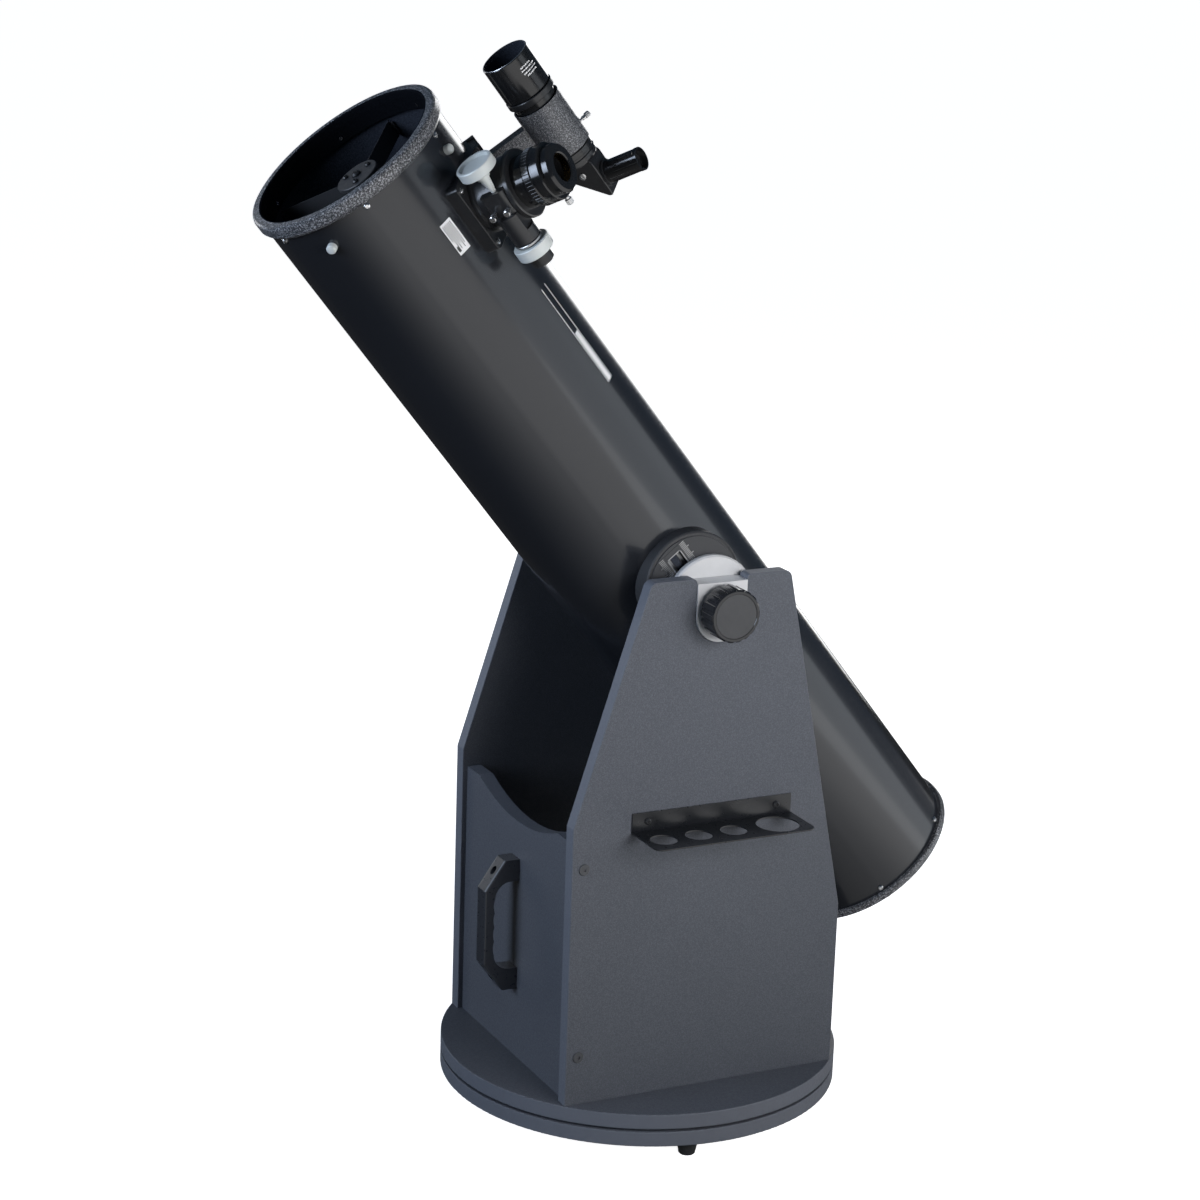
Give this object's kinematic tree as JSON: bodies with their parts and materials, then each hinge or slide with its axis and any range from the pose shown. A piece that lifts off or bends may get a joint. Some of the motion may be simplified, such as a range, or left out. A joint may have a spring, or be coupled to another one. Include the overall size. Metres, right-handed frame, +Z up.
{
  "type": "dobsonian telescope",
  "caption": "Reflecting telescope on a low turning board base, with a leaning solid tube, side focuser, right-angle finder, altitude knobs and an eyepiece rack.",
  "frame": {"origin": "on the floor, under the centre of the round ground board", "axes": "+Z up; the handle side and the open end of the leaning tube face -Y; the altitude axis runs along X and the eyepiece rack is on the +X side"},
  "size_m": [0.4899, 0.9051, 1.2885],
  "materials": {
    "board_laminate": "black pebble-grain laminate",
    "hammertone_black": "black hammertone enamel",
    "tube_paint": "gloss black enamel",
    "black_anodised": "satin black anodised",
    "silver_aluminium": "fine turned satin",
    "cast_silver": "bead-blasted silver",
    "chrome_fastener": "bright plated",
    "black_steel": "gloss black powder coat",
    "black_plastic": "moulded black plastic",
    "foot_rubber": "matt black rubber",
    "bare_steel": "plain steel",
    "spider_grey": "satin grey-black",
    "mirror_glass": "aluminised glass",
    "coated_lens": "coated optical glass",
    "brass": "turned brass",
    "ivory_plastic": "ivory plastic"
  },
  "bodies": {
    "ground": {"ground_board": "board_laminate", "feet": "foot_rubber", "lower_race": "bare_steel", "azimuth_bolt": "bare_steel"},
    "roller_cage": {"azimuth_rollers": "bare_steel"},
    "rocker": {"azimuth_board": "board_laminate", "upper_race": "bare_steel", "side_panel_right": "board_laminate", "side_panel_left": "board_laminate", "front_panel": "board_laminate", "panel_bolts": "black_steel", "board_screws": "bare_steel", "front_handle": "black_plastic", "black_pan_screws": "black_steel", "eyepiece_rack": "black_steel", "bearing_housing_right": "cast_silver", "bearing_housing_left": "cast_silver", "housing_screws": "chrome_fastener"},
    "tube": {"tube_shell": "tube_paint", "front_ring": "hammertone_black", "mirror_cell": "hammertone_black", "tube_screws": "chrome_fastener", "bearing_saddle_right": "hammertone_black", "bearing_saddle_left": "hammertone_black", "bearing_studs": "bare_steel", "spider": "spider_grey", "spider_nuts": "silver_aluminium", "secondary_holder": "spider_grey", "secondary_mirror": "mirror_glass", "secondary_screws": "black_steel", "mirror_lock_screws": "ivory_plastic", "focuser_base": "black_anodised", "focuser_body": "black_anodised", "reducer_housing": "black_anodised", "finder_shoe": "black_anodised", "finder_bracket": "hammertone_black", "finder_tube": "black_anodised", "finder_lock_ring": "black_anodised", "finder_prism_housing": "black_anodised", "finder_eyepiece": "black_anodised"},
    "tension_knob_right": {"tension_knob_right": "black_plastic"},
    "tension_knob_left": {"tension_knob_left": "black_plastic"},
    "primary_mirror": {"mirror_plate": "hammertone_black", "primary_mirror": "mirror_glass"},
    "collimation_knob_1": {"collimation_knob_1": "ivory_plastic"},
    "collimation_knob_2": {"collimation_knob_2": "ivory_plastic"},
    "collimation_knob_3": {"collimation_knob_3": "ivory_plastic"},
    "drawtube": {"drawtube": "black_anodised", "eyepiece_adapter": "black_anodised", "compression_ring": "brass"},
    "eyepiece_thumbscrew": {"eyepiece_thumbscrew": "chrome_fastener"},
    "coarse_focus_knobs": {"coarse_focus_knobs": "silver_aluminium"},
    "fine_focus_knob": {"fine_focus_knob": "black_anodised"},
    "focus_tension_screw": {"focus_tension_screw": "chrome_fastener"},
    "focus_lock_screw": {"focus_lock_screw": "chrome_fastener"},
    "finder_objective": {"finder_objective_cell": "black_anodised", "finder_objective_lens": "coated_lens"},
    "finder_thumbscrew_1": {"finder_thumbscrew_1": "chrome_fastener"},
    "finder_thumbscrew_2": {"finder_thumbscrew_2": "chrome_fastener"},
    "finder_plunger": {"finder_plunger": "chrome_fastener"}
  },
  "joints": [
    {"name": "azimuth_turn", "type": "hinge", "parent": "ground", "child": "rocker", "pos_m": [0, 0, 0.05], "axis": [0, 0, 1], "continuous": true},
    {"name": "roller_cage_turn", "type": "hinge", "parent": "ground", "child": "roller_cage", "pos_m": [0, 0, 0.0405], "axis": [0, 0, 1], "continuous": true},
    {"name": "altitude_tilt", "type": "hinge", "parent": "rocker", "child": "tube", "pos_m": [0, 0, 0.652], "axis": [-1, 0, 0], "range_deg": [-51.36, 38.64]},
    {"name": "right_tension_knob_turn", "type": "hinge", "parent": "tube", "child": "tension_knob_right", "pos_m": [0.19, 0, 0.652], "axis": [1, 0, 0], "range_deg": [-90, 360]},
    {"name": "left_tension_knob_turn", "type": "hinge", "parent": "tube", "child": "tension_knob_left", "pos_m": [-0.19, 0, 0.652], "axis": [-1, 0, 0], "range_deg": [-90, 360]},
    {"name": "collimation_knob_1_turn", "type": "hinge", "parent": "tube", "child": "collimation_knob_1", "pos_m": [0.08084, 0.29607, 0.23959], "axis": [0, -0.6244, 0.7811], "range_deg": [-720, 720]},
    {"name": "collimation_knob_2_turn", "type": "hinge", "parent": "tube", "child": "collimation_knob_2", "pos_m": [-0.06317, 0.27216, 0.22048], "axis": [0, -0.6244, 0.7811], "range_deg": [-720, 720]},
    {"name": "collimation_knob_3_turn", "type": "hinge", "parent": "tube", "child": "collimation_knob_3", "pos_m": [-0.01767, 0.38153, 0.30791], "axis": [0, -0.6244, 0.7811], "range_deg": [-720, 720]},
    {"name": "mirror_collimation", "type": "slide", "parent": "tube", "child": "primary_mirror", "axis": [0, -0.6244, 0.7811], "range_m": [-0.0019, 0.0019]},
    {"name": "coarse_focus", "type": "hinge", "parent": "tube", "child": "coarse_focus_knobs", "pos_m": [0.13771, -0.27382, 1.12176], "axis": [0, -0.6244, 0.7811], "range_deg": [-458, 267]},
    {"name": "fine_focus", "type": "hinge", "parent": "tube", "child": "fine_focus_knob", "pos_m": [0.13771, -0.22886, 1.06552], "axis": [0, -0.6244, 0.7811], "range_deg": [-4590, 2680]},
    {"name": "drawtube_slide", "type": "slide", "parent": "tube", "child": "drawtube", "axis": [0.7431, 0.5226, 0.4178], "range_m": [-0.0141, 0.0241]},
    {"name": "eyepiece_thumbscrew_turn", "type": "hinge", "parent": "drawtube", "child": "eyepiece_thumbscrew", "pos_m": [0.15309, -0.20324, 1.12697], "axis": [0, 0.6244, -0.7811], "range_deg": [-90, 720]},
    {"name": "focus_tension_turn", "type": "hinge", "parent": "tube", "child": "focus_tension_screw", "pos_m": [0.13787, -0.28497, 1.11029], "axis": [0.6691, -0.5805, -0.464], "range_deg": [-180, 360]},
    {"name": "focus_lock_turn", "type": "hinge", "parent": "tube", "child": "focus_lock_screw", "pos_m": [0.15199, -0.27504, 1.11822], "axis": [0.6691, -0.5805, -0.464], "range_deg": [-180, 360]},
    {"name": "finder_focus", "type": "hinge", "parent": "tube", "child": "finder_objective", "pos_m": [0.05008, -0.22233, 1.25177], "axis": [0, -0.6244, 0.7811], "range_deg": [-180, 180]},
    {"name": "finder_thumbscrew_1_turn", "type": "hinge", "parent": "tube", "child": "finder_thumbscrew_1", "pos_m": [0.05008, -0.13848, 1.20294], "axis": [0, 0.7811, 0.6244], "range_deg": [-360, 720]},
    {"name": "finder_thumbscrew_2_turn", "type": "hinge", "parent": "tube", "child": "finder_thumbscrew_2", "pos_m": [0.01508, -0.16582, 1.18108], "axis": [-1, 0, 0], "range_deg": [-360, 720]},
    {"name": "finder_plunger_slide", "type": "slide", "parent": "tube", "child": "finder_plunger", "axis": [0.7071, -0.5523, -0.4415], "range_m": [0, 0.004], "stiffness_N_per_m": 600, "springref_m": -0.008}
  ],
  "couplings": [
    {"joint": "roller_cage_turn", "follows": "azimuth_turn", "ratio": 0.5},
    {"joint": "drawtube_slide", "follows": "coarse_focus", "m_per_rad": -0.003},
    {"joint": "fine_focus", "follows": "coarse_focus", "ratio": 10},
    {"joint": "collimation_knob_1_turn", "follows": "mirror_collimation", "rad_per_m": -6283.2},
    {"joint": "collimation_knob_2_turn", "follows": "mirror_collimation", "rad_per_m": -6283.2},
    {"joint": "collimation_knob_3_turn", "follows": "mirror_collimation", "rad_per_m": -6283.2}
  ]
}
